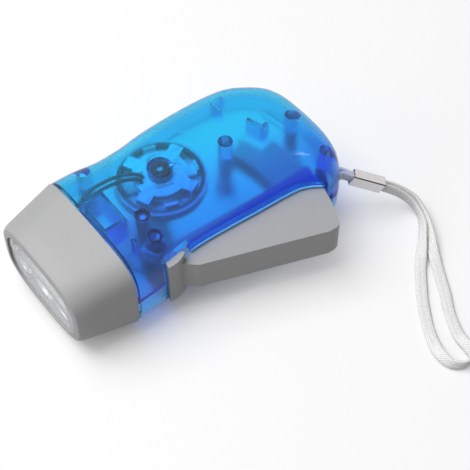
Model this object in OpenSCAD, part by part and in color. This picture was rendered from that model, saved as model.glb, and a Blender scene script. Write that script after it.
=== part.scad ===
// Hand-press dynamo flashlight lying on its side.
// The origin is on the table under the rotor axis, +X runs to the tail and -Y to the squeeze lever.

/* [Body] */
// thickness of the body from the table to its top
body_thickness = 35; // [34.6:0.1:37]
// wall of both shells and of the head
shell_wall = 1.8; // [1.7:0.05:1.9]
// reach of the tail behind the rotor axis
tail_reach = 55.3; // [54.5:0.1:57]
// reach of the spine from the rotor axis
spine_reach = 20; // [19.6:0.1:21.5]
// reach of the lever side from the rotor axis
lever_side_reach = 28; // [27.8:0.1:28.6]
// width of the rounded shoulder that joins the sides to the flat faces
shoulder_width = 14; // [13:0.5:14.5]

/* [Head] */
// length of the head in front of the shells
head_length = 20.6; // [20:0.1:23]
// distance between the three LEDs
led_pitch = 12; // [11.6:0.1:12.4]
// diameter of one LED
led_d = 5; // [4.8:0.1:5]

/* [Lever and gears] */
// thickness of the lever's arm
arm_thickness = 12.7; // [12:0.1:13]
// free play at the pitch circle of each pair of gears
gear_backlash = 0.16; // [0.14:0.01:0.2]
// diameter of the spring wire
spring_wire = 0.7; // [0.6:0.05:0.7]

/* [Dynamo] */
// outer diameter of the flywheel
flywheel_d = 31; // [30.6:0.1:31]
// thickness of the pole plates
plate_t = 0.7; // [0.6:0.05:0.75]

/* [Strap] */
// width of the woven tape
tape_w = 4; // [3.6:0.1:4]
// thickness of the woven tape
tape_t = 1.2; // [1:0.05:1.2]

/* [Hidden] */
$fn = 48;
mid = body_thickness / 2;
half = body_thickness / 2;
tail = tail_reach;
spine = spine_reach;
ls = lever_side_reach;
join_x = -30.6;
front_x = join_x - head_length;
body_y = -4.2;
keel_y = -4.8;
shoulder_power = 3;
steps = [0, 14, 28, 42, 56, 70, 82, 90];

// side of the body seen from above, from the head's lower corner round the tail and back
side = [
    [join_x - 10, -ls - 1.2], [join_x, -ls - 1.15], [join_x + 7, -ls - 0.9],
    [join_x + 14, -ls - 0.4], [-6, -ls + 0.8], [6, -ls + 0.4], [18, -ls - 0.5],
    [28, -ls - 1.1], [35, -ls - 2], [40, -ls - 4.4], [tail - 11, -ls - 7.6],
    [tail - 6.2, -ls - 5.2], [tail - 2.4, -ls + 0.2], [tail - 0.6, -ls + 7],
    [tail, -13], [tail - 0.1, -5], [tail - 1.1, 2.2], [tail - 4, 8.6],
    [tail - 9.4, 13.6], [tail - 16.5, spine - 2.4], [tail - 26, spine - 0.6],
    [17, spine], [5, spine - 0.2], [-5, spine - 1.2], [-14, spine - 1.2],
    [-22, spine + 0.2], [join_x, spine + 0.7], [join_x - 9, spine + 0.8]
];
side_samples = 3;
keel_a = [join_x - 20, keel_y];
keel_b = [tail - 20, keel_y];

// heights of the mechanism
floor_z = shell_wall;
top_z = body_thickness - shell_wall;
arm_half = arm_thickness / 2;
gear_room = mid - arm_half - floor_z;
step_z = floor_z + 0.182 * gear_room;
wheel_t = 0.321 * gear_room;
drive_z = step_z + wheel_t + 0.086 * gear_room;
drive_t = 0.267 * gear_room;
hub_low = drive_z + drive_t + 0.4;
sector_low = hub_low + 0.3;
sector_top = sector_low + 4;
pinion_top = sector_top + 0.5;
fly_z = body_thickness - 10.4;
disc_t = 1.2;
rim_top = fly_z + 3.4;
stack_z = fly_z + disc_t + 0.3;
bush_flange = 0.3;
lower_plate_z = stack_z + bush_flange;
upper_plate_z = body_thickness - 5.6;
plate_top = upper_plate_z + plate_t;

// axes of the mechanism
pivot = [-16.6, -19.9];
rotor = [0, 0];
pressure = 25;
m1 = 0.6;
m2 = 0.58;
m3 = 0.6;
sector_n = 18;
pinion_n = 9;
drive_n = 20;
step_n = 34;
mesh1 = 81.6;
cd1 = m1 * (sector_n + pinion_n) / 2;
cd2 = m2 * (drive_n + pinion_n) / 2;
cd3 = m3 * (step_n + pinion_n) / 2;
drive = pivot + cd1 * [cos(mesh1), sin(mesh1)];
reach = norm(rotor - drive);
to_rotor = atan2(rotor[1] - drive[1], rotor[0] - drive[0]);
swing = acos((cd2 * cd2 + reach * reach - cd3 * cd3) / (2 * cd2 * reach));
mesh2 = to_rotor + swing;
step = drive + cd2 * [cos(mesh2), sin(mesh2)];
mesh3 = atan2(rotor[1] - step[1], rotor[0] - step[0]);

// fits and small radii
axle_r = 1;
run = 0.03;
pin_r = 1.5;
hub_r = 4.6;
stator_bush_r = 3.1;
lower_bush_r = 2.2;
drive_bush_r = 2;
drive_boss_r = 2.6;
fly_r = flywheel_d / 2;
rim_t = 0.8;
magnet_t = 1.4;
magnet_r = fly_r - rim_t;
claw_r = magnet_r - magnet_t - 0.5;
claw_w = 4.5;

// lever, measured from the pivot with the lever pressed home, then turned back to its rest
rest_turn = -20.76;
arm_face = -9.07;
arm_inner = 17.6;
arm_reach = tail_reach - pivot[0] - 12;
slot_reach = arm_reach + 0.7;
slot_half = arm_half + 0.55;
tongue_half = 3.5;
block_r = 9.8;
block_half = 10;
slot_y = -22;
notch_x = pivot[0] - 2.6;
slot_x = pivot[0] + 8.5;

// screws that join the shells
screws = [[0.8 * tail - 20.94, -4.5], [tail - 7.3, -8.9], [tail - 7.5, -26.9], [-20, spine - 5.3]];
strap_post = screws[2];
post_r = 2.5;
screw_r = 1.1;
screw_head_r = 2.3;
screw_seat = 8;
neck_half = 3;
neck_r = 1.8;

// head and what it holds
head_rear = [25, half - 0.3];
head_front = [21.5, half - 3.1];
lip_x = front_x + 2.3;
lens_t = 1.5;
lens_back = lip_x + lens_t;
board_x = join_x - 8.4;
board_t = 1.5;
board_back = board_x + board_t;
leds_y = [body_y - led_pitch, body_y, body_y + led_pitch];
led_r = led_d / 2;
cup_r = 5.6;
cup_deep = 4.8;

// strap
post_turn = tape_t / 2 + neck_r + 0.1;
crimp_a = [tail + 0.4, -31.6, mid - 1];
crimp_b = [tail + 9.6, -38.3, mid - 6.5];
crimp_axis = (crimp_b - crimp_a) / norm(crimp_b - crimp_a);
crimp_side = [-crimp_axis[1], crimp_axis[0], 0] / norm([crimp_axis[0], crimp_axis[1]]);
crimp_mid = (crimp_a + crimp_b) / 2;
pair = tape_t / 2 + 0.03;
exit_run = [0.94, -0.34];
exit_side = [0.34, 0.94];

// smooth curves through points
function catmull(a, b, c, d, t) = 0.5 * (2 * b + (c - a) * t
    + (2 * a - 5 * b + 4 * c - d) * t * t + (3 * b - a - 3 * c + d) * t * t * t);
function inner_spline(c, k) = concat(
    [for (i = [1:len(c) - 3]) for (j = [0:k - 1]) catmull(c[i - 1], c[i], c[i + 1], c[i + 2], j / k)],
    [c[len(c) - 2]]);
function whole_spline(c, k) = inner_spline(concat([2 * c[0] - c[1]], c,
    [2 * c[len(c) - 1] - c[len(c) - 2]]), k);
outline = inner_spline(side, side_samples);
count = len(outline);
levels = len(steps);

// one level of the rounded shell, drawn in towards the keel
function keel_point(p) = let(t = max(0, min(1, ((p - keel_a) * (keel_b - keel_a))
    / ((keel_b - keel_a) * (keel_b - keel_a))))) keel_a + t * (keel_b - keel_a);
function level(inset, t) = [for (p = outline) let(m = keel_point(p), u = (m - p) / norm(m - p),
    s = inset + shoulder_width * (1 - pow(cos(t), 2 / shoulder_power)))
    [p[0] + u[0] * s, p[1] + u[1] * s, (half - inset) * pow(sin(t), 2 / shoulder_power)]];
function stack(inset) = [for (t = steps) each level(inset, t)];

// half shell with its rim at height zero and its front open at the head
module pan() {
    inner = levels * count;
    last = (levels - 1) * count;
    far = count - 1;
    points = concat(stack(0), stack(shell_wall));
    faces = concat(
        [for (r = [0:levels - 2]) for (i = [0:far - 1]) let(a = r * count + i)
            each [[a, a + count, a + count + 1], [a, a + count + 1, a + 1]]],
        [for (i = [0:count / 2 - 2]) let(a = last + i, d = last + far - i)
            each [[a, d, d - 1], [a, d - 1, a + 1]]],
        [for (r = [0:levels - 2]) for (i = [0:far - 1]) let(a = inner + r * count + i)
            each [[a, a + count + 1, a + count], [a, a + 1, a + count + 1]]],
        [for (i = [0:count / 2 - 2]) let(a = inner + last + i, d = inner + last + far - i)
            each [[a, d - 1, d], [a, a + 1, d - 1]]],
        [for (i = [0:far - 1]) each [[i, i + 1, inner + i + 1], [i, inner + i + 1, inner + i]]],
        [for (r = [0:levels - 2]) let(a = r * count, b = inner + a)
            each [[a, b, b + count], [a, b + count, a + count]]],
        [for (r = [0:levels - 2]) let(a = r * count + far, b = inner + a)
            each [[b, a, a + count], [b, a + count, b + count]]],
        [[inner + last, inner + last + far, last + far], [inner + last, last + far, last]]);
    polyhedron(points, faces);
}

// height of the shell over the parting plane at a distance from its side, and that distance for a point
function dome_z(d, inset) = let(c = max(0, 1 - max(0, d - inset) / shoulder_width),
    k = pow(c, shoulder_power / 2)) (half - inset) * pow(sqrt(1 - k * k), 2 / shoulder_power);
function edge_of(p) = min([for (q = outline) norm(q - p)]) - 0.2;
function plan_inset(d) = concat([[join_x, keel_y]], [for (q = level(d, 0)) [q[0], q[1]]]);

// post that rises into the wall: its outer half stops lower, under the rounded shoulder
module wall_post(p, z, r) {
    d = edge_of(p);
    m = keel_point(p) - p;
    low = min(half - shell_wall / 2, dome_z(d - r, 0) - 0.4);
    high = min(half - shell_wall / 2, dome_z(d, 0) - 0.4);
    if (low > z)
        post(p, z, low - z, r);
    intersection() {
        post(p, z, high - z, r);
        translate([p[0], p[1], 0])
            rotate(atan2(m[1], m[0]))
                slab(0, 10, -10, 10, z - 1, 40);
    }
}

// rounded oblong of the head, and a prism of it along the body
function oblong(a, b, n, k) = [for (i = [0:k - 1]) let(t = 360 * i / k)
    [a * sign(cos(t)) * pow(abs(cos(t)), 2 / n), b * sign(sin(t)) * pow(abs(sin(t)), 2 / n)]];
function head_at(x) = let(t = (x - front_x) / head_length)
    head_front + (head_rear - head_front) * t;
module along(x, h) {
    translate([x, body_y, mid])
        rotate([90, 0, 90])
            linear_extrude(h)
                children();
}
module head_prism(x, h, a, b) {
    along(x, h)
        polygon(oblong(a, b, 3.4, 48));
}
module head_bar(x, h, y, z, r) {
    translate([x, y, z])
        rotate([0, 90, 0])
            cylinder(h = h, r = r);
}

// tube or tape along a path; tilt 0 lays the width level, 90 sets it on edge
function run_of(p, i) = let(a = p[max(0, i - 1)], b = p[min(len(p) - 1, i + 1)],
    d = [b[0] - a[0], b[1] - a[1], b[2] - a[2]]) d / norm(d);
module sweep(path, section) {
    n = len(path);
    k = len(section);
    points = [for (i = [0:n - 1]) let(t = run_of(path, i), f = [-t[1], t[0], 0] / norm([t[0], t[1]]),
        u = cross(t, f), w = path[i][3], c = [path[i][0], path[i][1], path[i][2]])
        for (q = section) c + (f * cos(w) + u * sin(w)) * q[0] + (u * cos(w) - f * sin(w)) * q[1]];
    faces = concat(
        [for (i = [0:n - 2]) for (j = [0:k - 1]) let(a = i * k + j, b = i * k + (j + 1) % k)
            each [[a, b + k, b], [a, a + k, b + k]]],
        [for (j = [1:k - 2]) [0, j, j + 1]],
        [for (j = [1:k - 2]) [(n - 1) * k, (n - 1) * k + j + 1, (n - 1) * k + j]]);
    polyhedron(points, faces);
}
function round_section(r, k) = [for (j = [0:k - 1]) r * [cos(360 * j / k), sin(360 * j / k)]];
function tape_section() = let(a = tape_w / 2, b = tape_t / 2, c = tape_t * 0.3)
    [[a, -b + c], [a, b - c], [a - c, b], [c - a, b], [-a, b - c], [-a, c - b], [c - a, -b], [a - c, -b]];

// gear outline with a tooth centred on angle zero
function roll(base, r) = let(a = acos(min(1, base / r))) tan(a) * 180 / PI - a;
function gear_points(m, n) = let(pitch = m * n / 2, base = pitch * cos(pressure),
    root = pitch - m, tip = pitch + 0.8 * m, low = max(base, root),
    half_tooth = 90 / n - gear_backlash / 4 / pitch * 180 / PI + roll(base, pitch),
    flank = [low, (2 * low + tip) / 3, (low + 2 * tip) / 3, tip])
    [for (k = [0:n - 1]) let(c = 360 * k / n) each concat(
        [let(w = c - half_tooth + roll(base, low)) root * [cos(w), sin(w)]],
        [for (r = flank) let(w = c - half_tooth + roll(base, r)) r * [cos(w), sin(w)]],
        [for (i = [3:-1:0]) let(r = flank[i], w = c + half_tooth - roll(base, r)) r * [cos(w), sin(w)]],
        [let(w = c + half_tooth - roll(base, low)) root * [cos(w), sin(w)]])];
module gear(m, n, h, turn) {
    rotate(turn)
        linear_extrude(h)
            polygon(gear_points(m, n));
}
module post(p, z, h, r) {
    translate([p[0], p[1], z])
        cylinder(h = h, r = r);
}
module slab(x0, x1, y0, y1, z0, z1) {
    translate([x0, y0, z0])
        cube([x1 - x0, y1 - y0, z1 - z0]);
}

// openings that both shells share, measured from the parting plane
module lever_opening() {
    intersection() {
        slab(slot_x - 0.1, tail - 5.3, -60, slot_y, -slot_half, slot_half);
        post(pivot, -20, 40, slot_reach);
    }
    slab(notch_x, slot_x, -60, slot_y, -block_half - 0.4, block_half + 0.4);
}
module strap_opening() {
    translate([strap_post[0], strap_post[1], -tape_w / 2 - 0.7])
        linear_extrude(tape_w + 1.4)
            difference() {
                union() {
                    rotate(atan2(exit_run[1], exit_run[0]))
                        translate([0, -2.7])
                            square([9, 5.4]);
                    circle(r = post_turn + tape_t / 2 + 0.6);
                }
                circle(r = neck_r);
            }
}
module slot_end() {
    linear_extrude(slot_half + 1.2)
        intersection() {
            polygon(plan_inset(1.2));
            difference() {
                translate(pivot)
                    circle(r = slot_reach + 0.9, $fn = 96);
                translate(pivot)
                    circle(r = slot_reach, $fn = 96);
            }
            translate([38, -40])
                square([12, 13.5]);
        }
}
module slot_lip() {
    translate([0, 0, slot_half])
        linear_extrude(1.2)
            intersection() {
                polygon(plan_inset(1.5));
                translate([slot_x, -40])
                    square([50, slot_y + 38.4]);
                translate(pivot)
                    circle(r = slot_reach + 0.5, $fn = 96);
            }
}
module collar() {
    along(board_back, join_x - board_back + 1)
        difference() {
            polygon(oblong(21.9, half - 3.2, 3.4, 48));
            polygon(oblong(20.5, half - 4.6, 3.4, 48));
            translate([-30, -40])
                square([60, 40]);
        }
}
module front_wall() {
    rim = shell_wall / 2;
    edge = [for (t = steps) level(rim, t)];
    translate([join_x, 0, 0])
        rotate([90, 0, 90])
            linear_extrude(1.6)
                difference() {
                    polygon(concat([for (r = edge) [r[0][1], r[0][2]]],
                        [for (i = [levels - 1:-1:0]) [edge[i][count - 1][1], edge[i][count - 1][2]]]));
                    translate([body_y, 0])
                        polygon(oblong(20.5, half - 4.6, 3.4, 48));
                }
}

module upper_shell() {
    color([0.15, 0.5, 0.95])
        translate([0, 0, mid])
            difference() {
                union() {
                    pan();
                    upper_inside();
                    translate([0, 0, -mid])
                        collar();
                }
                lever_opening();
                strap_opening();
                for (p = screws)
                    post(p, -1, 9, screw_r);
                post(pivot, -1, half - 2.5, pin_r);
                post(drive, -1, half - 3, drive_bush_r);
                post(drive, 0, half - 3, axle_r + 0.2);
                post(rotor, -1, half - 1.6, stator_bush_r);
            }
}
module upper_inside() {
    skin = half - shell_wall / 2;
    front_wall();
    slot_end();
    slot_lip();
    for (i = [0, 1, 3])
        wall_post(screws[i], 0, post_r);
    post(strap_post, 0, neck_half + 1, neck_r);
    wall_post(strap_post, neck_half, post_r);
    wall_post(pivot, mid - 10.9, pin_r + 0.85);
    post(drive, 0, skin, drive_boss_r);
    post(rotor, plate_top - mid, skin - plate_top + mid, stator_bush_r + 1.2);
    wall_post(spring_stop(spring_end, 5.2, 0.9), mid - 8.8, 0.9);
    translate([0, 0, 5])
        linear_extrude(skin - 5)
            difference() {
                translate([-29, -10.2])
                    square([8.8, 14]);
                translate([-27.8, -9])
                    square([6.4, 11.6]);
            }
    translate([0, 0, 8])
        linear_extrude(skin - 8)
            polygon([[34.2, -1.6], [36.4, -8], [39.2, -7.4], [38.9, -6.1], [37.3, -6.4], [35.4, -1.1]]);
    translate([0, 0, 9])
        linear_extrude(dome_z(7, 0) - 9.6)
            polygon([[29.6, 7], [30.9, 7], [30.9, 10.6], [34.4, 10.6], [34.4, 11.9], [29.6, 11.9]]);
}

module lower_shell() {
    color([0.12, 0.42, 0.9])
        translate([0, 0, mid])
            mirror([0, 0, 1])
                difference() {
                    union() {
                        pan();
                        lower_inside();
                        translate([0, 0, -mid])
                            collar();
                    }
                    lever_opening();
                    strap_opening();
                    for (p = screws) {
                        post(p, -1, half + 2, screw_r);
                        post(p, mid - screw_seat, 20, screw_head_r + 0.2);
                    }
                    post(pivot, mid - 7, half - 2.2 - mid + 7, pin_r);
                    post(step, mid - 5, 3.7, axle_r);
                    post(rotor, mid - 5, 5 - floor_z, lower_bush_r);
                }
}
module lower_inside() {
    skin = half - shell_wall / 2;
    low = mid - step_z + 0.3;
    collar_z = mid - screw_seat - 2;
    front_wall();
    slot_end();
    slot_lip();
    for (i = [0, 1, 3])
        post(screws[i], 0, collar_z + 0.5, post_r + 0.2);
    post(strap_post, 0, collar_z + 0.5, neck_r);
    post(strap_post, neck_half, collar_z + 0.5 - neck_half, post_r + 0.2);
    for (p = screws)
        wall_post(p, collar_z, screw_head_r + 1.2);
    wall_post(pivot, mid - 6.6, pin_r + 1.7);
    post(step, low, skin - low, axle_r + 1.2);
    post(rotor, low, skin - low, lower_bush_r + 1);
}

module shell_screws() {
    color([0.7, 0.7, 0.72])
        for (p = screws) {
            post(p, screw_seat - 0.1, mid + 7.5 - screw_seat, screw_r);
            difference() {
                post(p, screw_seat - 1.7, 1.7, screw_head_r);
                slab(p[0] - 0.3, p[0] + 0.3, p[1] - 1.4, p[1] + 1.4, 0, screw_seat - 0.8);
                slab(p[0] - 1.4, p[0] + 1.4, p[1] - 0.3, p[1] + 0.3, 0, screw_seat - 0.8);
            }
        }
}

module head_cap() {
    profile = [[join_x, 0], [join_x - 6.4, 0], [join_x - 13.4, 0], [front_x + 1.7, 0],
        [front_x + 0.4, 0.5], [front_x, 1.6], [front_x, 2.9], [lip_x, 2.9], [lip_x, 2],
        [join_x - 13.4, shell_wall], [join_x - 6.4, shell_wall], [join_x, shell_wall]];
    k = 48;
    n = len(profile);
    points = [for (q = profile) let(s = head_at(q[0]), e = 3.2 + 1 * (q[0] - front_x) / head_length)
        for (p = oblong(s[0] - q[1], s[1] - q[1], e, k)) [q[0], body_y + p[0], mid + p[1]]];
    faces = [for (i = [0:n - 1]) for (j = [0:k - 1])
        let(a = i * k + j, b = i * k + (j + 1) % k, c = ((i + 1) % n) * k + j,
            d = ((i + 1) % n) * k + (j + 1) % k)
        each [[a, d, c], [a, b, d]]];
    color([0.6, 0.6, 0.62])
        polyhedron(points, faces);
}

module lens() {
    s = head_at(lip_x);
    color([0.85, 0.9, 0.92])
        head_prism(lip_x, lens_t, s[0] - 2.1, s[1] - 2.1);
}

module reflector() {
    s = head_at(lens_back);
    color([0.8, 0.8, 0.82])
        difference() {
            head_prism(lens_back, board_x - lens_back, s[0] - shell_wall - 0.4, s[1] - shell_wall - 0.4);
            for (y = leds_y) {
                translate([lens_back, y, mid])
                    rotate([0, 90, 0])
                        cylinder(h = cup_deep, r1 = cup_r, r2 = led_r + 0.1);
                head_bar(lens_back, board_x - lens_back + 1, y, mid, led_r + 0.1);
                head_bar(board_x - 1.1, 2, y, mid, led_r + 0.5);
            }
        }
}

module leds() {
    color([0.95, 0.93, 0.7])
        for (y = leds_y) {
            head_bar(board_x - 1, 1, y, mid, led_r + 0.4);
            head_bar(board_x - 4.7, 4, y, mid, led_r);
            intersection() {
                translate([board_x - 4.7, y, mid])
                    sphere(r = led_r);
                slab(board_x - 9, board_x - 4.6, y - 4, y + 4, mid - 4, mid + 4);
            }
            for (d = [-1.27, 1.27])
                head_bar(board_x - 0.5, board_t + 1.3, y, mid + d, 0.3);
        }
}

module led_board() {
    s = head_at(board_x);
    color([0.2, 0.45, 0.25])
        difference() {
            head_prism(board_x, board_t, s[0] - shell_wall - 0.2, s[1] - shell_wall - 0.2);
            for (y = leds_y)
                for (d = [-1.27, 1.27])
                    head_bar(board_x - 1, board_t + 2, y, mid + d, 0.3);
        }
}

module board_diodes() {
    color([0.1, 0.1, 0.1])
        for (y = [body_y - 13, body_y - 7, body_y + 1, body_y + 7])
            translate([board_back, y - 1.1, mid - 8.2])
                cube([2.2, 2.2, 4.4]);
}

module board_capacitor() {
    color([0.15, 0.2, 0.3]) {
        head_bar(board_back, 0.6, body_y - 3, mid + 6, 2.4);
        head_bar(board_back + 0.5, 5.5, body_y - 3, mid + 6, 2.5);
    }
}

lead_path_red = [[-5.2, 2.4, upper_plate_z + 0.2], [-5.8, 2.9, upper_plate_z + 1.3], [-7.4, 4.1, plate_top + 1.25],
    [-11, 6.2, plate_top + 1.3], [-17, 7.4, plate_top + 1.3], [-23, 7.6, plate_top + 0.6],
    [-28, 7.4, plate_top - 3], [-32, 7, plate_top - 6.4], [-35, 6.6, plate_top - 7.6],
    [board_back, 6.5, plate_top - 7.8]];
lead_path_black = [[-6.9, 0.9, upper_plate_z + 0.2], [-7, 1.1, upper_plate_z + 1.2], [-8.6, 2.2, plate_top + 1.3],
    [-12.2, 4.2, plate_top + 1.3], [-17.4, 5.2, plate_top + 1.3], [-23, 5.5, plate_top + 0.6],
    [-28, 5, plate_top - 3], [-32, 4.2, plate_top - 6.4], [-35, 3.6, plate_top - 7.6],
    [board_back, 3.5, plate_top - 7.8]];
function level_path(p) = [for (q = whole_spline(p, 2)) [q[0], q[1], q[2], 0]];

module lead_red() {
    color([0.75, 0.1, 0.1])
        sweep(level_path(lead_path_red), round_section(0.6, 8));
}
module lead_black() {
    color([0.08, 0.08, 0.08])
        sweep(level_path(lead_path_black), round_section(0.6, 8));
}

// squeeze lever, drawn pressed home about the pivot and turned back to rest
module arm_plan() {
    intersection() {
        polygon([[0, 0], [6.56, -7.14], [11.9, arm_face], [arm_reach - 4.3, arm_face],
            [arm_reach - 1.7, arm_face + 0.8], [arm_reach + 1.1, arm_face + 3],
            [arm_reach + 1.1, (arm_reach + 1.1) * tan(arm_inner)]]);
        circle(r = arm_reach, $fn = 96);
    }
}
module tongue_plan() {
    intersection() {
        difference() {
            circle(r = arm_reach, $fn = 96);
            circle(r = arm_reach - 12.9, $fn = 96);
        }
        polygon([[arm_reach - 19.9, (arm_reach - 19.9) * tan(arm_inner) - 3],
            [arm_reach, arm_reach * tan(arm_inner) - 4],
            (arm_reach + 10) * [cos(33.8), sin(33.8)], (arm_reach - 5.4) * [cos(33.8), sin(33.8)],
            (arm_reach - 5.4) * [cos(42.8), sin(42.8)], (arm_reach - 15.9) * [cos(42.8), sin(42.8)]]);
    }
}
module press_lever() {
    color([0.62, 0.62, 0.64])
        translate([pivot[0], pivot[1], 0]) {
            difference() {
                union() {
                    rotate(rest_turn) {
                        translate([0, 0, mid - arm_half])
                            linear_extrude(arm_thickness)
                                arm_plan();
                        translate([0, 0, mid - tongue_half])
                            linear_extrude(2 * tongue_half)
                                tongue_plan();
                    }
                    translate([0, 0, mid - block_half])
                        linear_extrude(2 * block_half)
                            intersection() {
                                circle(r = block_r, $fn = 96);
                                polygon([[0, 0], 20 * [cos(-101), sin(-101)], 20 * [cos(-75), sin(-75)],
                                    20 * [cos(-54), sin(-54)]]);
                            }
                }
                translate([0, 0, mid - 20])
                    cylinder(h = 40, r = hub_r - 0.3);
            }
            difference() {
                union() {
                    translate([0, 0, hub_low])
                        cylinder(h = mid + arm_half + 0.12 - hub_low, r = hub_r);
                    translate([0, 0, sector_low])
                        linear_extrude(sector_top - sector_low)
                            intersection() {
                                rotate(mesh1)
                                    polygon(gear_points(m1, sector_n));
                                polygon([[0, 0], for (w = [-3.5:1:2.5]) 9 * [cos(mesh1 + 20 * w),
                                    sin(mesh1 + 20 * w)]]);
                            }
                }
                translate([0, 0, hub_low - 1])
                    cylinder(h = 40, r = pin_r + 0.05);
            }
        }
    color([0.62, 0.62, 0.64])
        post(spring_stop(spring_from, -5.6, 0.6), mid + arm_half - 1, 2.6, 0.6);
}

module lever_pin() {
    color([0.72, 0.72, 0.74])
        post(pivot, 2.2, body_thickness - 5.7, pin_r);
}

// torsion spring: a leg on the lever's peg, the curls, and a leg on the upper shell
spring_r = 3.3;
spring_pitch = spring_wire + 0.45;
spring_z = mid + 6.7 + spring_wire / 2;
spring_from = -82;
spring_turn = 786;
spring_rings = 18;
spring_at = [for (i = [0:spring_rings - 1]) let(g = i / (spring_rings - 1), w = spring_from - g * spring_turn)
    [pivot[0] + spring_r * cos(w), pivot[1] + spring_r * sin(w),
        spring_z + g * spring_turn / 360 * spring_pitch, 0]];
spring_end = spring_from - spring_turn;
function leg(w, s, z) = [pivot[0] + spring_r * cos(w) + s * sin(w), pivot[1] + spring_r * sin(w) - s * cos(w), z, 0];
function spring_stop(w, s, r) = pivot + (spring_r + spring_wire / 2 + r + 0.03) * [cos(w), sin(w)]
    + s * [sin(w), -cos(w)];
spring_top = spring_at[spring_rings - 1][2];
echo(least_spring_gap = spring_pitch - spring_wire);

module return_spring() {
    color([0.75, 0.75, 0.78])
        sweep(concat([leg(spring_from, -6.2, spring_z), leg(spring_from, -2, spring_z)], spring_at,
            [leg(spring_end, 2, spring_top), leg(spring_end, 6.2, spring_top)]),
            round_section(spring_wire / 2, 6));
}

module drive_gear() {
    color([0.92, 0.92, 0.88])
        translate([drive[0], drive[1], 0])
            difference() {
                union() {
                    translate([0, 0, drive_z])
                        gear(m2, drive_n, drive_t, mesh2);
                    translate([0, 0, drive_z + 0.1])
                        gear(m1, pinion_n, pinion_top - drive_z - 0.1, mesh1 + 180 + 180 / pinion_n);
                }
                translate([0, 0, drive_z - 1])
                    cylinder(h = 20, r = axle_r);
            }
}
module drive_axle() {
    color([0.75, 0.75, 0.77])
        post(drive, drive_z - 0.4, body_thickness - 3.6 - drive_z + 0.4, axle_r);
}
module drive_bush() {
    color([0.45, 0.28, 0.15])
        difference() {
            post(drive, pinion_top + 0.4, body_thickness - 4 - pinion_top - 0.4, drive_bush_r);
            post(drive, 0, 40, axle_r + run);
        }
}

module step_gear() {
    color([0.9, 0.9, 0.86])
        translate([step[0], step[1], 0])
            difference() {
                union() {
                    translate([0, 0, step_z])
                        gear(m3, step_n, wheel_t, mesh3);
                    translate([0, 0, step_z + wheel_t - 0.1])
                        gear(m2, pinion_n, drive_z + drive_t - step_z - wheel_t + 0.1,
                            mesh2 + 180 + 180 / pinion_n);
                }
                translate([0, 0, step_z - 1])
                    cylinder(h = 20, r = axle_r + 0.04);
            }
}
module step_pin() {
    color([0.75, 0.75, 0.77]) {
        post(step, 1.3, drive_z + drive_t + 0.5 - 1.3, axle_r);
        post(step, drive_z + drive_t + 0.3, 0.6, axle_r + 0.7);
    }
}

module rotor_pinion() {
    color([0.8, 0.65, 0.3])
        difference() {
            translate([0, 0, step_z])
                gear(m3, pinion_n, wheel_t, mesh3 + 180 + 180 / pinion_n);
            post(rotor, 0, 20, axle_r);
        }
}
module rotor_shaft() {
    color([0.78, 0.78, 0.8])
        post(rotor, floor_z + 0.2, body_thickness - 3.1 - floor_z - 0.2, axle_r);
}
module lower_bush() {
    color([0.45, 0.28, 0.15])
        difference() {
            post(rotor, floor_z, step_z - 0.3 - floor_z, lower_bush_r);
            post(rotor, 0, 20, axle_r + run);
        }
}

module flywheel() {
    color([0.3, 0.3, 0.33])
        difference() {
            union() {
                difference() {
                    post(rotor, fly_z, rim_top - fly_z, fly_r);
                    post(rotor, fly_z + disc_t, 20, magnet_r);
                }
                post(rotor, fly_z - 3.1, 3.4, 2.8);
            }
            post(rotor, 0, 60, axle_r);
        }
}
module ring_magnet() {
    color([0.2, 0.2, 0.22])
        difference() {
            post(rotor, fly_z + disc_t, rim_top - 0.2 - fly_z - disc_t, magnet_r);
            post(rotor, 0, 60, magnet_r - magnet_t);
        }
}

// pole plate with its fingers bent down from height z; cut marks the winding windows
module pole_plate(z, turn, finger_z, finger_h, cut) {
    difference() {
        union() {
            post(rotor, z, plate_t, 9.2);
            for (w = [0:90:270])
                rotate(turn + w)
                    intersection() {
                        union() {
                            slab(5, claw_r, -claw_w / 2, claw_w / 2, z, z + plate_t);
                            slab(claw_r - plate_t - 0.2, 20, -claw_w / 2, claw_w / 2, finger_z,
                                finger_z + finger_h);
                        }
                        post(rotor, 0, 60, claw_r);
                    }
        }
        post(rotor, 0, 60, stator_bush_r);
        if (cut)
            for (w = [45:90:315])
                rotate(turn + w)
                    intersection() {
                        post([5.2, 0], z - 1, plate_t + 2, 2.8);
                        slab(5, 20, -5, 5, z - 1, z + plate_t + 1);
                    }
    }
}
module upper_pole_plate() {
    color([0.7, 0.7, 0.72])
        pole_plate(upper_plate_z, 27, lower_plate_z + plate_t + 0.2,
            upper_plate_z + plate_t - lower_plate_z - plate_t - 0.2, true);
}
module lower_pole_plate() {
    color([0.66, 0.66, 0.68])
        pole_plate(lower_plate_z, 72, lower_plate_z, upper_plate_z - 0.2 - lower_plate_z, false);
}
module coil_bobbin() {
    low = lower_plate_z + plate_t;
    color([0.9, 0.88, 0.8])
        difference() {
            post(rotor, low, upper_plate_z - low, 9);
            difference() {
                post(rotor, low + 0.4, upper_plate_z - low - 0.8, 12);
                post(rotor, low, 20, stator_bush_r + 1);
            }
            post(rotor, 0, 60, stator_bush_r);
        }
}
module coil_winding() {
    low = lower_plate_z + plate_t + 0.4;
    color([0.7, 0.35, 0.15])
        difference() {
            post(rotor, low, upper_plate_z - 0.4 - low, 8.6);
            post(rotor, 0, 60, stator_bush_r + 1);
        }
}
module stator_bush() {
    color([0.45, 0.28, 0.15])
        difference() {
            union() {
                post(rotor, stack_z, bush_flange, stator_bush_r + 1.4);
                post(rotor, stack_z, body_thickness - 2.6 - stack_z, stator_bush_r);
            }
            post(rotor, 0, 60, axle_r + run);
        }
}

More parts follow.
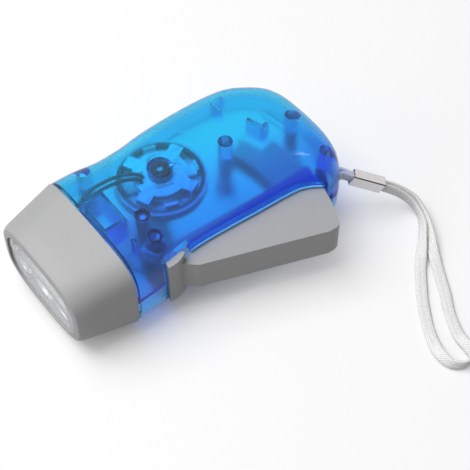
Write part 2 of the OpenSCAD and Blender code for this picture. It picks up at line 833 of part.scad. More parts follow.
// strap: the tether round the screw post, the crimp, and the wrist loop lying on the table
function strap_point(s, l, z) = [strap_post[0] + exit_run[0] * s + exit_side[0] * l,
    strap_post[1] + exit_run[1] * s + exit_side[1] * l, z, 90];
function crimp_point(s, l, w) = let(p = crimp_mid + crimp_axis * s + crimp_side * l) [p[0], p[1], p[2], w];
tether_path = [crimp_point(0, pair, 90), crimp_point(-5.2, pair, 90), strap_point(6.2, 0.9, mid - 0.2),
    strap_point(3, 1.9, mid), strap_point(0, post_turn, mid),
    strap_point(-0.7 * post_turn, 0.7 * post_turn, mid), strap_point(-post_turn, 0, mid),
    strap_point(-0.7 * post_turn, -0.7 * post_turn, mid), strap_point(0, -post_turn, mid),
    strap_point(3, -1.9, mid), strap_point(6.2, -0.9, mid - 0.2), crimp_point(-5.2, -pair, 90),
    crimp_point(0, -pair, 90)];
loop_path = concat([crimp_point(0, -pair, 90), crimp_point(5.4, -pair, 90)], [
    [69, -42.4, 7.6, 90], [71.6, -46.6, 4.5, 90], [71.6, -50.8, 2.6, 85], [69.4, -55, 2.2, 60],
    [66, -58.6, 2, 45], [61.8, -62.8, 1.4, 20], [57.6, -67, 0.8, 0], [53.6, -71.8, 0.7, 0],
    [50.2, -76, 0.7, 0], [46.8, -81, 0.7, 0], [43.8, -86, 0.7, 0], [41.4, -91, 1.1, 10],
    [39.8, -96, 1.9, 40], [40.2, -100.6, 2.2, 70], [43.4, -103.4, 2.15, 90], [47.4, -102.6, 2.2, 110],
    [48.8, -99, 1.9, 140], [49.6, -94.5, 1.1, 170], [51.6, -89.5, 0.7, 180], [54, -84.6, 0.7, 180],
    [57, -80, 0.7, 180], [59.6, -75.4, 0.7, 180], [62.4, -70.2, 0.8, 180], [65.2, -65, 1.4, 160],
    [68.2, -60.4, 2, 135], [71, -55.8, 2.2, 120], [73, -51.4, 2.8, 95], [73.2, -46.4, 4.9, 90],
    [69.9, -41.2, 7.9, 90]],
    [crimp_point(5.4, pair, 90), crimp_point(0, pair, 90)]);

module strap_tether() {
    color([0.92, 0.92, 0.93])
        sweep(whole_spline(tether_path, 3), tape_section());
}
module strap_loop() {
    color([0.92, 0.92, 0.93])
        sweep(whole_spline(loop_path, 2), tape_section());
}
module strap_crimp() {
    color([0.75, 0.74, 0.75])
        translate(crimp_mid)
            rotate([0, asin(-crimp_axis[2]), atan2(crimp_axis[1], crimp_axis[0])])
                difference() {
                    slab(-6, 6, -2 * pair - 0.45, 2 * pair + 0.45, -tape_w / 2 - 0.5, tape_w / 2 + 0.5);
                    slab(-8, 8, -2 * pair - 0.02, 2 * pair + 0.02, -tape_w / 2 - 0.02, tape_w / 2 + 0.02);
                }
}

lower_shell();
upper_shell();
shell_screws();
head_cap();
lens();
reflector();
leds();
led_board();
board_diodes();
board_capacitor();
lead_red();
lead_black();
press_lever();
lever_pin();
return_spring();
drive_gear();
drive_axle();
drive_bush();
step_gear();
step_pin();
rotor_pinion();
rotor_shaft();
lower_bush();
flywheel();
ring_magnet();
lower_pole_plate();
upper_pole_plate();
coil_bobbin();
coil_winding();
stator_bush();
strap_tether();
strap_crimp();
strap_loop();
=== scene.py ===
import math

import bpy
import numpy as np
from mathutils import Matrix


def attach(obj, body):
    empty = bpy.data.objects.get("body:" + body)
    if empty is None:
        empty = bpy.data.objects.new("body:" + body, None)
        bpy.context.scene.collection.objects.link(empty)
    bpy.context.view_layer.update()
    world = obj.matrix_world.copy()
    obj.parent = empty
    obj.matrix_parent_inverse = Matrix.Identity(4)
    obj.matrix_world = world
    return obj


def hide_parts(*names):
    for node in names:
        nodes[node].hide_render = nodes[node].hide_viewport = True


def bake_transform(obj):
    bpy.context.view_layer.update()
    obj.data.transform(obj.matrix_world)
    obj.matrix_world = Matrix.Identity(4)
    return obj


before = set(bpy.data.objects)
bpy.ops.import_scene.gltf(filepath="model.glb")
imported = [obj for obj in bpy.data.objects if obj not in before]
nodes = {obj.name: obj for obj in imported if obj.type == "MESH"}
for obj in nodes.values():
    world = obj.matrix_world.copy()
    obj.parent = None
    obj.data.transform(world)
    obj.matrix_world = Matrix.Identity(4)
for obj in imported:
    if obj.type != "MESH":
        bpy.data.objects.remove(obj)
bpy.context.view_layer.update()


# Camera: a long lens from the head's side, high over the lever, as the photograph was taken.
# The aim point lies between the body and the strap, on the body's middle plane.
def aimed(place, target, upward):
    """Matrix of an object at a place that looks at a target: its z runs from the target to the place,
    its x is the cross product of upward and z, and its y the cross product of z and x."""
    z = np.subtract(place, target)
    z /= np.linalg.norm(z)
    x = np.cross(upward, z)
    x /= np.linalg.norm(x)
    turn = np.eye(4)
    turn[:3, 0], turn[:3, 1], turn[:3, 2], turn[:3, 3] = x, np.cross(z, x), z, place
    return Matrix(turn.tolist())


cam = bpy.data.objects.new("camera", bpy.data.cameras.new("camera"))
bpy.context.collection.objects.link(cam)
cam.data.sensor_width = 36.0
cam.data.lens = 105.55
cam.data.clip_start = 0.01
look_from, look_at = (-0.1471, -0.2279, 0.3884), (0.0098, -0.0270, 0.0175)
cam.matrix_world = aimed(look_from, look_at, (0, 0, 1))
bpy.context.scene.camera = cam
bpy.context.scene.view_settings.view_transform = "Standard"


# Wrist strap: one flat white tape, woven from polyester, with both ends pinched in a metal crimp.
# Its short turn runs through a hole in the tail and round a screw post; the long loop lies on the table.
def spline(points, samples):
    """Catmull-Rom curve: each span is the cubic whose slope at a point is half the chord
    between that point's neighbours; the ends borrow a mirrored neighbour."""
    p = np.asarray(points, float)
    p = np.vstack([2 * p[0] - p[1], p, 2 * p[-1] - p[-2]])
    t = (np.arange(samples) / samples)[None, :, None]
    a, b, c, d = (p[i:len(p) - 3 + i][:, None, :] for i in range(4))
    rows = 0.5 * (2 * b + (c - a) * t + (2 * a - 5 * b + 4 * c - d) * t ** 2
                  + (3 * b - a - 3 * c + d) * t ** 3)
    return np.vstack([rows.reshape(-1, p.shape[1]), p[-2][None]])


def closed_bands(rows, around):
    """Faces of a grid of so many rows that closes on itself after so many points around; returns
    the row and the place of each face's first corner, and the faces."""
    i, j = np.meshgrid(np.arange(rows - 1), np.arange(around), indexing="ij")
    k = (j + 1) % around
    quads = np.stack([i * around + j, i * around + k, (i + 1) * around + k, (i + 1) * around + j], -1)
    return i, j, quads.reshape(-1, 4)


def swept(path, section, tilt=None):
    """Profile carried along a path: each ring is the path's point plus the profile's first number times
    the width and its second times the height, where the width turns from level to upright by the
    tilt angle about the path's own direction. The UV map holds the length along the path and
    round the profile, in metres."""
    ahead = np.gradient(path, axis=0)
    ahead /= np.linalg.norm(ahead, axis=1)[:, None]
    level = np.stack([-ahead[:, 1], ahead[:, 0], 0 * ahead[:, 0]], 1)
    level /= np.linalg.norm(level, axis=1)[:, None]
    rise = np.cross(ahead, level)
    lean = np.radians(np.zeros(len(path)) if tilt is None else tilt)[:, None]
    wide = level * np.cos(lean) + rise * np.sin(lean)
    high = rise * np.cos(lean) - level * np.sin(lean)
    profile = np.asarray(section, float)
    rings = path[:, None] + wide[:, None] * profile[None, :, :1] + high[:, None] * profile[None, :, 1:]
    rows, around = rings.shape[:2]
    i, j, quads = closed_bands(rows, around)
    run = np.concatenate([[0], np.cumsum(np.linalg.norm(np.diff(path, axis=0), axis=1))])
    steps = np.linalg.norm(np.diff(np.vstack([profile, profile[:1]]), axis=0), axis=1)
    girth = np.concatenate([[0], np.cumsum(steps)])
    corners = ((0, 0), (0, 1), (1, 1), (1, 0))
    uv = np.stack([np.stack([run[i + a], girth[j + b]], -1) for a, b in corners], -2)
    caps = [list(range(around))[::-1], list(range((rows - 1) * around, rows * around))]
    cap_uv = np.zeros((2 * around, 2))
    return rings.reshape(-1, 3), quads.tolist() + caps, np.vstack([uv.reshape(-1, 2), cap_uv])


def piece(name, verts, faces, uv=None, body="body"):
    """Mesh object at the origin with its place in its vertices, smooth, riding on a body."""
    me = bpy.data.meshes.new(name)
    me.from_pydata(verts.tolist(), [], faces)
    if uv is not None:
        me.uv_layers.new(name="run").data.foreach_set("uv", np.asarray(uv, np.float32).ravel())
    me.shade_smooth()
    ob = bpy.data.objects.new(name, me)
    bpy.context.collection.objects.link(ob)
    if body:
        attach(ob, body)
    return ob


# sizes in mm; mid_z is the body's middle plane, on which the strap hole and the window are centred
MM = 0.001
mid_z = 17.5
tape_w, tape_t, tape_air, turn_in = 4.0, 1.2, 0.03, 1.9
crimp_a, crimp_b = np.array([55.7, -31.6, 16.5]), np.array([64.9, -38.3, 11.0])
crimp_run = (crimp_b - crimp_a) / np.linalg.norm(crimp_b - crimp_a)
crimp_side = np.array([-crimp_run[1], crimp_run[0], 0]) / np.hypot(*crimp_run[:2])
crimp_mid = (crimp_a + crimp_b) / 2
pair = tape_t / 2 + tape_air
post, exit_run, exit_side = np.array([47.8, -26.9]), np.array([0.94, -0.34]), np.array([0.34, 0.94])
bend = tape_t / 2 + turn_in


def in_crimp(along, aside):
    """Point so far along the crimp from its middle and so far to its side, with the tape on edge."""
    return list(crimp_mid + crimp_run * along + crimp_side * aside) + [90]


def at_post(along, aside, z=mid_z):
    """Point so far along the strap hole from the screw post and so far to its side, with the tape on edge."""
    return list(post + exit_run * along + exit_side * aside) + [z, 90]


tether_route = [in_crimp(0, pair), in_crimp(-5.2, pair), at_post(6.2, 0.9, 17.3), at_post(3, 1.9),
                at_post(0, bend), at_post(-0.7 * bend, 0.7 * bend), at_post(-bend, 0),
                at_post(-0.7 * bend, -0.7 * bend), at_post(0, -bend), at_post(3, -1.9),
                at_post(6.2, -0.9, 17.3), in_crimp(-5.2, -pair), in_crimp(0, -pair)]
# each point of the loop: x, y and z in mm, and the tape's tilt in degrees
loop_route = [in_crimp(0, -pair), in_crimp(5.4, -pair),
              [69, -42.4, 7.6, 90], [71.6, -46.6, 4.5, 90], [71.6, -50.8, 2.6, 85], [69.4, -55, 2.2, 60],
              [66, -58.6, 2, 45], [61.8, -62.8, 1.4, 20], [57.6, -67, 0.8, 0], [53.6, -71.8, 0.7, 0],
              [50.2, -76, 0.7, 0], [46.8, -81, 0.7, 0], [43.8, -86, 0.7, 0], [41.4, -91, 1.1, 10],
              [39.8, -96, 1.9, 40], [40.2, -100.6, 2.2, 70], [43.4, -103.4, 2.15, 90],
              [47.4, -102.6, 2.2, 110], [48.8, -99, 1.9, 140], [49.6, -94.5, 1.1, 170],
              [51.6, -89.5, 0.7, 180], [54, -84.6, 0.7, 180],
              [57, -80, 0.7, 180], [59.6, -75.4, 0.7, 180], [62.4, -70.2, 0.8, 180], [65.2, -65, 1.4, 160],
              [68.2, -60.4, 2, 135], [71, -55.8, 2.2, 120], [73, -51.4, 2.8, 95], [73.2, -46.4, 4.9, 90],
              [69.9, -41.2, 7.9, 90], in_crimp(5.4, pair), in_crimp(0, pair)]
# tape's profile: half thickness falls as the root of 1 - side^8, with three soft ribs across the width
side = np.linspace(-1, 1, 13)
edge = 0.5 * tape_t * np.sqrt(np.maximum(0, 1 - np.abs(side) ** 8)) * (1 - 0.10 * np.cos(3 * math.pi * side))
tape_section = np.vstack([np.stack([side * tape_w / 2, -edge], 1),
                          np.stack([side[::-1] * tape_w / 2, edge[::-1]], 1)[1:-1]])
route = spline(tether_route + loop_route[1:], 10)
tape_path = route[:, :3] * MM
tape = piece("strap_tape", *swept(tape_path, tape_section * MM, route[:, 3]))
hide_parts("strap_tether", "strap_loop")


def put(tree, value, socket):
    """Feeds a socket from another socket, or sets it to a plain number, vector or colour."""
    if isinstance(value, bpy.types.NodeSocket):
        tree.links.new(value, socket)
    else:
        socket.default_value = (*value, 1) if socket.type == "RGBA" else value


def add(tree, kind, **settings):
    """New shader node of a kind in a tree, with its settings."""
    made = tree.nodes.new("ShaderNode" + kind)
    for key, value in settings.items():
        setattr(made, key, value)
    return made


def worked(tree, operation, *values):
    """Math node of one operation on sockets or plain numbers; returns its result."""
    made = add(tree, "Math", operation=operation)
    for place, value in enumerate(values):
        put(tree, value, made.inputs[place])
    return made.outputs[0]


def ranged(tree, value, low, high, to_low=0, to_high=1, kind="LINEAR"):
    """Map Range node: carries a value from low..high to another range; returns its result."""
    made = add(tree, "MapRange", interpolation_type=kind)
    for key, given in (("Value", value), ("From Min", low), ("From Max", high),
                       ("To Min", to_low), ("To Max", to_high)):
        put(tree, given, made.inputs[key])
    return made.outputs[0]


def ramped(tree, value, *stops):
    """Colour ramp through stops, each a place from 0 to 1 and a colour; returns its colour."""
    made = add(tree, "ValToRGB")
    marks = made.color_ramp.elements
    for mark, (place, colour) in ((marks[1], stops[-1]), (marks[0], stops[0])):
        mark.position, mark.color = place, (*colour, 1)
    for place, colour in stops[1:-1]:
        marks.new(place).color = (*colour, 1)
    put(tree, value, made.inputs[0])
    return made.outputs[0]


def noise(tree, at, scale, detail):
    """Noise texture at a place; returns its value."""
    made = add(tree, "TexNoise")
    for key, given in (("Vector", at), ("Scale", scale), ("Detail", detail)):
        put(tree, given, made.inputs[key])
    return made.outputs["Fac"]


def bumped(tree, height, strength, depth):
    """Bump node; returns the normal."""
    made = add(tree, "Bump")
    for key, given in (("Height", height), ("Strength", strength), ("Distance", depth)):
        put(tree, given, made.inputs[key])
    return made.outputs[0]


def group(name, inputs, outputs):
    """New shader node group with named inputs, each with its kind and usual value, and named
    outputs; returns it with the sockets that its own nodes read from and write to."""
    made = bpy.data.node_groups.new(name, "ShaderNodeTree")
    for key, kind, value in inputs:
        made.interface.new_socket(key, in_out="INPUT", socket_type="NodeSocket" + kind).default_value = value
    for key in outputs:
        made.interface.new_socket(key, in_out="OUTPUT", socket_type="NodeSocketFloat")
    return made, made.nodes.new("NodeGroupInput").outputs, made.nodes.new("NodeGroupOutput").inputs


def placed(tree, node_group, **values):
    """Node of a group in a material, with its own values; returns its outputs."""
    made = add(tree, "Group", node_tree=node_group)
    for key, value in values.items():
        made.inputs[key].default_value = value
    return made.outputs


def finish(name, constants=()):
    """New node material; returns it, its node tree and its Principled shader with constants set."""
    m = bpy.data.materials.new(name)
    m.use_nodes = True
    shader = m.node_tree.nodes["Principled BSDF"]
    for key, value in dict(constants).items():
        put(m.node_tree, value, shader.inputs[key])
    return m, m.node_tree, shader


def dress(ob, mat):
    """Gives an object one material and nothing else."""
    ob.data.materials.clear()
    ob.data.materials.append(mat)


# plain weave: the product of two sines, along and across the tape, roughened by a fine fuzz
weave, given, gives = group("plain_weave", (("Along", "Float", 1400), ("Across", "Float", 1600)),
                            ("Height", "Shade"))
on_tape = add(weave, "TexCoord").outputs["UV"]
apart = add(weave, "SeparateXYZ")
put(weave, on_tape, apart.inputs[0])
threads = [worked(weave, "SINE", worked(weave, "MULTIPLY", apart.outputs[axis], given[key]))
           for axis, key in (("X", "Along"), ("Y", "Across"))]
height = ranged(weave, worked(weave, "MULTIPLY", *threads), -1, 1)
put(weave, height, gives["Height"])
put(weave, worked(weave, "MULTIPLY", height, noise(weave, on_tape, 900, 2)), gives["Shade"])

# about one thread to the millimetre each way; the grey in the gaps between threads is painted shade
woven, tree, cloth = finish("woven_white_tape", {"Roughness": 0.85, "Sheen Weight": 0.25})
pattern = placed(tree, weave, Along=6200, Across=6283)
gap_shade_grey, thread_white = (0.70, 0.69, 0.69), (0.97, 0.97, 0.96)
put(tree, ramped(tree, pattern["Shade"], (0, gap_shade_grey), (0.30, thread_white)), cloth.inputs["Base Color"])
put(tree, bumped(tree, pattern["Height"], 0.5, 0.0004), cloth.inputs["Normal"])
dress(tape, woven)


# Strap crimp: a sleeve folded from nickel-plated sheet, squeezed flat over the tape where its ends meet.
# The sheet is bright with very fine scratches; a painted shade darkens it along the fold under its upper
# edge.
def vector(tree, operation, *values):
    """Vector Math node; returns its number for a dot product or a length, and else its vector."""
    made = add(tree, "VectorMath", operation=operation)
    for place, value in enumerate(values):
        put(tree, value, made.inputs[place])
    return made.outputs["Value" if operation in ("DOT_PRODUCT", "LENGTH") else "Vector"]


scratch, given, gives = group("fine_scratches", (("Scale", "Float", 300), ("Stretch", "Vector", (1, 1, 1))),
                              ("Mask",))
pulled = vector(scratch, "MULTIPLY", add(scratch, "TexCoord").outputs["Object"], given["Stretch"])
put(scratch, noise(scratch, pulled, given["Scale"], 4), gives["Mask"])


def metal(name, colour, rough, spread, scale=600, stretch=(1, 1, 1), bare=1):
    """Metal whose roughness runs from rough to rough + spread with the scratch mask, and whose
    colour darkens a little in the same scratches; bare is its Metallic value."""
    m, tree, shader = finish(name, {"Metallic": bare})
    mask = placed(tree, scratch, Scale=scale, Stretch=stretch)["Mask"]
    put(tree, ranged(tree, mask, 0, 1, rough, rough + spread), shader.inputs["Roughness"])
    worn = [0.72 * x for x in colour]
    put(tree, ramped(tree, mask, (0.25, worn), (0.6, colour)), shader.inputs["Base Color"])
    return m


def mixed(tree, share, first, second, blend="MIX"):
    """Mix node of two colours, each a socket or a plain colour; returns its colour."""
    made = add(tree, "Mix", data_type="RGBA", blend_type=blend)
    for place, value in ((0, share), (6, first), (7, second)):
        put(tree, value, made.inputs[place])
    return made.outputs[2]


nickel = metal("nickel_crimp", (0.86, 0.84, 0.84), 0.10, 0.08, 5000)
tree = nickel.node_tree
plating = tree.nodes["Principled BSDF"].inputs["Base Color"]
crimp_rise = np.cross(crimp_run, crimp_side)
level = vector(tree, "DOT_PRODUCT", add(tree, "TexCoord").outputs["Object"], crimp_rise.tolist())
middle = crimp_mid @ crimp_rise
# the dark band under the upper edge is painted shade along the fold
bright, fold_painted_shade = (1, 1, 1), (0.10, 0.09, 0.09)
fold = ramped(tree, ranged(tree, level, (middle + 0.9) * MM, (middle + 2.5) * MM),
              (0.48, bright), (0.60, fold_painted_shade), (0.95, fold_painted_shade), (0.99, bright))
put(tree, mixed(tree, 1, plating.links[0].from_socket, fold, "MULTIPLY"), plating)
dress(nodes["strap_crimp"], nickel)


# Half shells: injection-moulded in clear blue styrene, glossy outside, joined by four screws.
# Posts, ribs and bosses are moulded in; the inside is matt, but polished where it covers the dynamo.
def soften(ob, angle):
    """Merges the loose triangles of a moulded piece and rounds the shading below an angle in degrees."""
    ob.data.shade_smooth()
    ob.modifiers.new("weld", "WELD").merge_threshold = 2e-6
    ob.modifiers.new("edges", "EDGE_SPLIT").split_angle = math.radians(angle)


def let_light_in(tree, shader, passed):
    """Shadow rays go straight through, tinted, so that light reaches what lies behind."""
    through, pick = add(tree, "BsdfTransparent"), add(tree, "MixShader")
    put(tree, passed, through.inputs[0])
    put(tree, add(tree, "LightPath").outputs["Is Shadow Ray"], pick.inputs[0])
    put(tree, shader.outputs[0], pick.inputs[1])
    put(tree, through.outputs[0], pick.inputs[2])
    put(tree, pick.outputs[0], tree.nodes["Material Output"].inputs["Surface"])


# shell wall: its haze is frost noise, with a step up beyond the polished disc round the rotor's axis;
# its painted shade fades in along a slanting line from the spine to the lever's side
shell_wall, given, gives = group("shell_wall", (("Frost", "Float", 220), ("Polished", "Float", 0.0156)),
                                 ("Haze", "Thickness"))
where = add(shell_wall, "TexCoord").outputs["Object"]
frost = ranged(shell_wall, noise(shell_wall, where, given["Frost"], 5), 0, 1, 0.22, 0.27)
from_axis = vector(shell_wall, "LENGTH", vector(shell_wall, "MULTIPLY", where, (1, 1, 0)))
rim_of_disc = worked(shell_wall, "ADD", given["Polished"], 0.0004)
matt = ranged(shell_wall, from_axis, given["Polished"], rim_of_disc, 0, 0.085)
put(shell_wall, worked(shell_wall, "ADD", frost, matt), gives["Haze"])
slant = vector(shell_wall, "DOT_PRODUCT", where, (0.25, 1, 0))
put(shell_wall, ranged(shell_wall, slant, 0.010, -0.020, kind="SMOOTHSTEP"), gives["Thickness"])


def tinted(name, colour, shaded_tint, deep, clear, passed):
    """Clear tinted plastic: the tint runs from one colour at the spine to a darker one with painted shade at
    the lever's side, and to a deep one seen edge on. The outer face is smooth; the inner face, seen from
    behind, has the wall's haze."""
    m, tree, shader = finish(name, {"Transmission Weight": clear, "IOR": 1.36, "Coat Weight": 0.2,
                                    "Coat Roughness": 0.08})
    wall = placed(tree, shell_wall)
    faces, outer_rough = add(tree, "Mix"), 0.07
    put(tree, add(tree, "NewGeometry").outputs["Backfacing"], faces.inputs[0])
    put(tree, outer_rough, faces.inputs[2])
    put(tree, wall["Haze"], faces.inputs[3])
    put(tree, faces.outputs[0], shader.inputs["Roughness"])
    # the tint darkens toward the lever's side as painted shade
    tint = mixed(tree, wall["Thickness"], colour, shaded_tint)
    edge_on = add(tree, "LayerWeight")
    put(tree, 0.2, edge_on.inputs["Blend"])
    put(tree, mixed(tree, edge_on.outputs["Facing"], tint, deep), shader.inputs["Base Color"])
    let_light_in(tree, shader, passed)
    return m


upper_blue = tinted("clear_blue_upper", (0.04, 0.78, 1.0), (0.10, 0.43, 1.0), (0.01, 0.12, 0.98), 0.965,
                    (0.46, 0.59, 0.86))
lower_blue = tinted("clear_blue_lower", (0.07, 0.82, 1.0), (0.10, 0.55, 1.0), (0.03, 0.36, 0.99), 0.97,
                    (0.56, 0.66, 0.86))
for name, blue in (("upper_shell", upper_blue), ("lower_shell", lower_blue)):
    soften(nodes[name], 32)
    dress(nodes[name], blue)


# Slot edge: a thin round bead along the upper shell's edge over the lever slot, where the lip catches the
# light.
# Its opaque pale blue is a painted highlight of that lip.
def disc(radius, sides):
    """Circle of points, the cosine and sine of even steps round it, times the radius."""
    turn = np.linspace(0, 2 * math.pi, sides, endpoint=False)
    return radius * np.stack([np.cos(turn), np.sin(turn)], 1)


grain, given, gives = group("moulded_grain", (("Scale", "Float", 1500),), ("Mask",))
put(grain, noise(grain, add(grain, "TexCoord").outputs["Object"], given["Scale"], 3), gives["Mask"])


def moulded(name, colour, rough, scale, depth):
    """Satin plastic: the grain mask shades the colour by a few per cent, moves the roughness by
    0.05 to each side and feeds a bump of the given depth in metres."""
    m, tree, shader = finish(name)
    mask = placed(tree, grain, Scale=scale)["Mask"]
    low, high = ([share * x for x in colour] for share in (0.96, 1.03))
    put(tree, ramped(tree, mask, (0.3, low), (0.7, high)), shader.inputs["Base Color"])
    put(tree, ranged(tree, mask, 0, 1, rough - 0.05, rough + 0.05), shader.inputs["Roughness"])
    put(tree, bumped(tree, mask, 0.25, depth), shader.inputs["Normal"])
    return m


lip_z, lip_r = 24.75, 0.35
lip_line = [(-8, -27.05), (-6, -26.9), (-2, -26.89), (2, -27.07), (6, -27.3), (10, -27.57), (14.1, -27.9),
            (18, -28.2), (21.6, -28.41), (25, -28.59), (28, -28.8), (30.6, -29.02), (33, -29.28), (35, -29.7),
            (36.8, -30.36), (38.4, -31.19), (39.9, -32.1), (41.3, -33.3)]
lip_route = [(x, y, lip_z) for x, y in lip_line]
bead = piece("slot_highlight_bead", *swept(spline(lip_route, 6) * MM, disc(lip_r * MM, 12)))
# the bead's pale blue is a painted highlight
dress(bead, moulded("painted_highlight_edge", (0.16, 0.58, 1.0), 0.12, 900, 0.00001))

# Shafts, pins and screws: turned from ground steel, the self-tapping screws zinc-plated.
# The bushes that the shafts run in are pressed from sintered bronze, brown with oil.
ground = metal("ground_steel", (0.66, 0.66, 0.68), 0.25, 0.2, stretch=(1, 1, 0.05))
for name in ("lever_pin", "drive_axle", "step_pin", "rotor_shaft"):
    dress(nodes[name], ground)
dress(nodes["shell_screws"], metal("bright_zinc", (0.86, 0.87, 0.90), 0.3, 0.2, 900))
bronze = metal("oiled_bronze", (0.62, 0.28, 0.24), 0.35, 0.25, 900)
for name in ("drive_bush", "lower_bush", "stator_bush"):
    dress(nodes[name], bronze)

# Gears: the drive gear and the step gear are moulded in white nylon, wheel and pinion in one.
# The rotor's pinion is cut from brass and pressed on its shaft.
nylon = moulded("white_nylon", (0.80, 0.80, 0.76), 0.45, 1200, 0.00003)
for name in ("drive_gear", "step_gear"):
    dress(nodes[name], nylon)
dress(nodes["rotor_pinion"], metal("cut_brass", (0.75, 0.58, 0.26), 0.25, 0.2, stretch=(1, 1, 0.1)))

# Rotor: a flywheel cast in zinc, dull as it comes from the die.
# A ring magnet of black ferrite is glued inside its rim.
dress(nodes["flywheel"], metal("cast_zinc", (0.60, 0.58, 0.61), 0.4, 0.25, 900))
dress(nodes["ring_magnet"], moulded("ferrite", (0.05, 0.05, 0.055), 0.55, 1800, 0.00004))

# Stator: two pole plates stamped from zinc-plated steel, their fingers bent to stand inside the magnet.
# They sit on the stator's bush under a boss of the upper shell, with a nylon bobbin between them.
plated = metal("zinc_plate", (0.72, 0.73, 0.75), 0.34, 0.2, 500)
for name in ("upper_pole_plate", "lower_pole_plate"):
    dress(nodes[name], plated)
dress(nodes["coil_bobbin"], nylon)

# Coil winding: enamelled copper wire in even layers on the bobbin, each turn lying beside the last.
# Its outside is one turned surface whose radius dips between turns and climbs one turn per lap.
coil_in, coil_out, coil_foot, coil_high = 4.1, 8.6, 27.5, 1.5
wire_pitch, wire_dip = 0.25, 0.09
round_lap, upward = np.linspace(0, 2 * math.pi, 181), np.linspace(0, coil_high, 73)
lap, rise = np.meshgrid(round_lap, upward, indexing="ij")
dip = 1 - np.abs(np.cos(math.pi * (rise / wire_pitch - lap / (2 * math.pi))))
core = np.full_like(lap[:, :1], coil_in)
radius = np.concatenate([core, coil_out - wire_dip * dip, core], 1)
high = np.concatenate([rise[:, :1], rise, rise[:, -1:]], 1) + coil_foot
wound = np.stack([radius * np.cos(lap[:, :1]), radius * np.sin(lap[:, :1]), high], -1)[:-1] * MM
columns, points = wound.shape[:2]
i, j = np.meshgrid(np.arange(columns), np.arange(points), indexing="ij")
k, m = (i + 1) % columns, (j + 1) % points
quads = np.stack([a * points + b for a, b in ((i, j), (k, j), (k, m), (i, m))], -1).reshape(-1, 4)
winding = piece("wound_wire", wound.reshape(-1, 3), quads.tolist())
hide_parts("coil_winding")
dress(winding, metal("enamelled_copper", (0.60, 0.25, 0.10), 0.25, 0.2, 500, (1, 1, 6)))

# Return spring: bright drawn wire coiled round the lever's hub, one leg on the lever, one on a peg.
# The coil is a helix that rises by more than its wire's thickness each turn, with straight legs.
pin_at, coil_r, wire_r = np.array([-16.6, -19.9]), 3.3, 0.35
spring_foot, spring_rise, leg = 24.55, 1.15, 6.2
coil = np.radians(np.linspace(-82, -868, 150))
turns = np.stack([pin_at[0] + coil_r * np.cos(coil), pin_at[1] + coil_r * np.sin(coil),
                  spring_foot + spring_rise * (coil[0] - coil) / (2 * math.pi)], 1)
# points of a leg, by how far each lies from the coil along the coil's tangent
away = np.linspace(leg, 0.4, 12)[:, None]
start = turns[0] - away * np.array([math.sin(coil[0]), -math.cos(coil[0]), 0])
end = turns[-1] + away[::-1] * np.array([math.sin(coil[-1]), -math.cos(coil[-1]), 0])
spring = piece("spring_wire", *swept(np.vstack([start, turns, end]) * MM, disc(wire_r * MM, 14)), body=None)
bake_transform(spring)
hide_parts("return_spring")
dress(spring, metal("drawn_wire", (0.55, 0.55, 0.57), 0.2, 0.2, 900))

# Squeeze lever: moulded in grey ABS with a fine spark-eroded texture.
# It turns on the steel pin in its hub, and a toothed sector on the hub drives the gears.
satin_grey = moulded("satin_grey", (0.375, 0.377, 0.378), 0.45, 2600, 0.00001)
dress(nodes["press_lever"], satin_grey)

# LED board: green laminate that holds the three LEDs, with rectifier diodes in black epoxy.
# A small capacitor in a dark blue sleeve stands behind it.
dress(nodes["led_board"], moulded("green_laminate", (0.06, 0.22, 0.09), 0.4, 1500, 0.00002))
dress(nodes["board_diodes"], moulded("black_epoxy", (0.02, 0.02, 0.022), 0.4, 1500, 0.00002))
dress(nodes["board_capacitor"], moulded("blue_sleeve", (0.05, 0.07, 0.16), 0.3, 1200, 0.00002))

# Leads: two stranded wires in soft plastic, soldered to the coil's tags and to the LED board.
# They rise between the arms of the upper pole plate and drop in an easy bend to the board.
lead_r = 0.6
leads = {
    "lead_red": ("red_insulation", (0.45, 0.03, 0.03), [
        (-5.2, 2.4, 29.6), (-5.8, 2.9, 30.7), (-7.4, 4.1, 31.35), (-11, 6.2, 31.4), (-17, 7.4, 31.4),
        (-23, 7.6, 30.7), (-28, 7.4, 27.1), (-32, 7, 23.7), (-35, 6.6, 22.5), (-37.5, 6.5, 22.3)]),
    "lead_black": ("black_insulation", (0.015, 0.015, 0.016), [
        (-6.9, 0.9, 29.6), (-7, 1.1, 30.6), (-8.6, 2.2, 31.4), (-12.2, 4.2, 31.4), (-17.4, 5.2, 31.4),
        (-23, 5.5, 30.7), (-28, 5, 27.1), (-32, 4.2, 23.7), (-35, 3.6, 22.5), (-37.5, 3.5, 22.3)])}
for name, (skin, colour, points) in leads.items():
    lead = piece(name + "_wire", *swept(spline(points, 10) * MM, disc(lead_r * MM, 14)))
    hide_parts(name)
    dress(lead, moulded(skin, colour, 0.35, 1500, 0.00002))

# Reflector and LEDs: a plastic block with three cups, metallised in vacuum so thinly that it isn't
# quite a mirror. In each cup stands a 5 mm LED cast in pale yellow epoxy.
dress(nodes["reflector"], metal("vacuum_silver", (0.99, 0.99, 0.99), 0.10, 0.06, 3000, bare=0.7))
dress(nodes["leds"], moulded("led_epoxy", (0.85, 0.82, 0.62), 0.1, 900, 0.00001))

# Window: clear acrylic with fine scratches, glued into the head just behind its rim.
# Its raised front is a flat oval with a rounded edge that nearly reaches the rim.
window, tree, shader = finish("clear_window", {"Base Color": (0.97, 0.98, 1), "Transmission Weight": 0.87,
                                               "IOR": 1.3})
wear = placed(tree, scratch, Scale=400, Stretch=(1, 1, 1))["Mask"]
put(tree, ranged(tree, wear, 0, 1, 0.01, 0.04), shader.inputs["Roughness"])
let_light_in(tree, shader, (0.95, 0.96, 0.97))
dress(nodes["lens"], window)


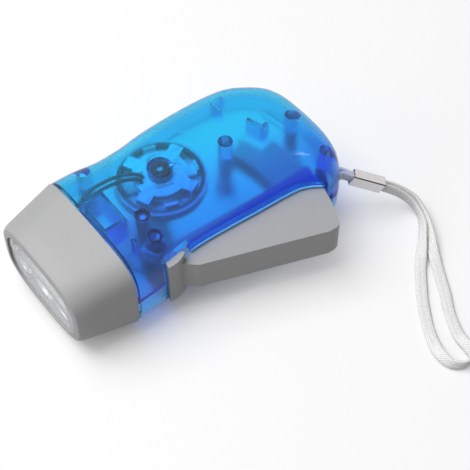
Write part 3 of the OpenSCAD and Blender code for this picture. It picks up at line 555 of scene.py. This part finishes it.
def oval(inset, around):
    """Rings of a superellipse: each half axis less the inset, times the cosine or the sine of the angle
    with its sign kept and its size raised to 2/3.2; returns y and z."""
    half_y, half_z, mid_y, power = 18.6, 11.5, -4.2, 2 / 3.2
    c, s = np.cos(around), np.sin(around)
    return (mid_y + (half_y - inset) * np.sign(c) * np.abs(c) ** power,
            mid_z + (half_z - inset) * np.sign(s) * np.abs(s) ** power)


# x and inset of each ring, from the back of the raised front over its rounded edge to its flat face
rim = np.array([(-48.93, 0.3), (-50.3, 0.3), (-50.65, 0.42), (-50.8, 0.75), (-50.86, 3.0), (-50.9, 6.0)])
rows, sides = len(rim), 96
oval_y, oval_z = oval(rim[:, 1:], np.linspace(0, 2 * math.pi, sides, endpoint=False))
rings = np.stack([np.broadcast_to(rim[:, :1], (rows, sides)), oval_y, oval_z], -1) * MM
quads = closed_bands(rows, sides)[2][:, [0, 3, 2, 1]].tolist()
caps = [list(range(sides)), list(range((rows - 1) * sides, rows * sides))[::-1]]
front = piece("window_front", rings.reshape(-1, 3), quads + caps)
dress(front, window)

# Head: moulded in the same grey ABS as the lever.
# It slides over the collar of both shells and holds the window and the reflector.
soften(nodes["head_cap"], 35)
dress(nodes["head_cap"], satin_grey)

# Studio: a pale floor that keeps the soft shadow, a white surround and two large soft lamps.
# The surround is plain white to the camera and in reflections, and the floor partly so; as light,
# both are only a soft fill.
floor = bpy.data.objects.new("floor", bpy.data.meshes.new("floor"))
reach, drop = 3, -0.0002
floor.data.from_pydata([(-reach, -reach, drop), (reach, -reach, drop), (reach, reach, drop),
                        (-reach, reach, drop)], [], [(0, 1, 2, 3)])
bpy.context.collection.objects.link(floor)


def white_share(tree, rays, camera, glossy, through, clear_of=1):
    """Share of plain white: the largest of the amounts for camera, glossy and transmission rays, for
    rays that have met no matt surface yet; the first two are multiplied by clear_of."""
    seen = worked(tree, "MAXIMUM", worked(tree, "MULTIPLY", rays["Is Camera Ray"], camera),
                  worked(tree, "MULTIPLY", rays["Is Glossy Ray"], glossy))
    most = worked(tree, "MAXIMUM", worked(tree, "MULTIPLY", seen, clear_of),
                  worked(tree, "MULTIPLY", rays["Is Transmission Ray"], through))
    return worked(tree, "MULTIPLY", most, worked(tree, "LESS_THAN", rays["Diffuse Depth"], 0.5))


def part_white(tree, share, matt, white, output):
    """Mixes a plain white shader into another by a share, and makes that the tree's surface."""
    pick = add(tree, "MixShader")
    for place, socket in enumerate((share, matt.outputs[0], white.outputs[0])):
        put(tree, socket, pick.inputs[place])
    put(tree, pick.outputs[0], tree.nodes[output].inputs["Surface"])


paper, tree, shader = finish("white_paper", {"Roughness": 0.9, "Specular IOR Level": 0.1})
rays = add(tree, "LightPath").outputs
as_light, as_seen = (0.55, 0.55, 0.55), (0.97, 0.97, 0.97)
put(tree, mixed(tree, rays["Is Camera Ray"], as_light, as_seen), shader.inputs["Base Color"])
# the white fades where something stands within 14 mm, so that the shadow darkens under the object
near = add(tree, "AmbientOcclusion", samples=16)
put(tree, 0.014, near.inputs["Distance"])
lit = add(tree, "Emission")
put(tree, 1, lit.inputs["Strength"])
part_white(tree, white_share(tree, rays, 0.46, 0.46, 1, near.outputs["AO"]), shader, lit, "Material Output")
dress(floor, paper)

world = bpy.data.worlds.new("studio")
bpy.context.scene.world = world
world.use_nodes = True
tree = world.node_tree
fill, white = tree.nodes["Background"], add(tree, "Background")
put(tree, (1, 1, 1), fill.inputs["Color"])
put(tree, 0.22, fill.inputs["Strength"])
put(tree, 1, white.inputs["Strength"])
part_white(tree, white_share(tree, add(tree, "LightPath").outputs, 1, 1, 1), fill, white, "World Output")

for name, place, size, power in (("key", (-0.28, 0.30, 0.95), 0.8, 10.1),
                                 ("side", (-0.60, 0.10, 0.30), 0.4, 0.75)):
    lamp = bpy.data.objects.new(name, bpy.data.lights.new(name, "AREA"))
    lamp.data.energy = power
    lamp.data.size = size
    lamp.matrix_world = aimed(place, (0, -0.02, 0.01), (0, 1, 0.001))
    bpy.context.collection.objects.link(lamp)
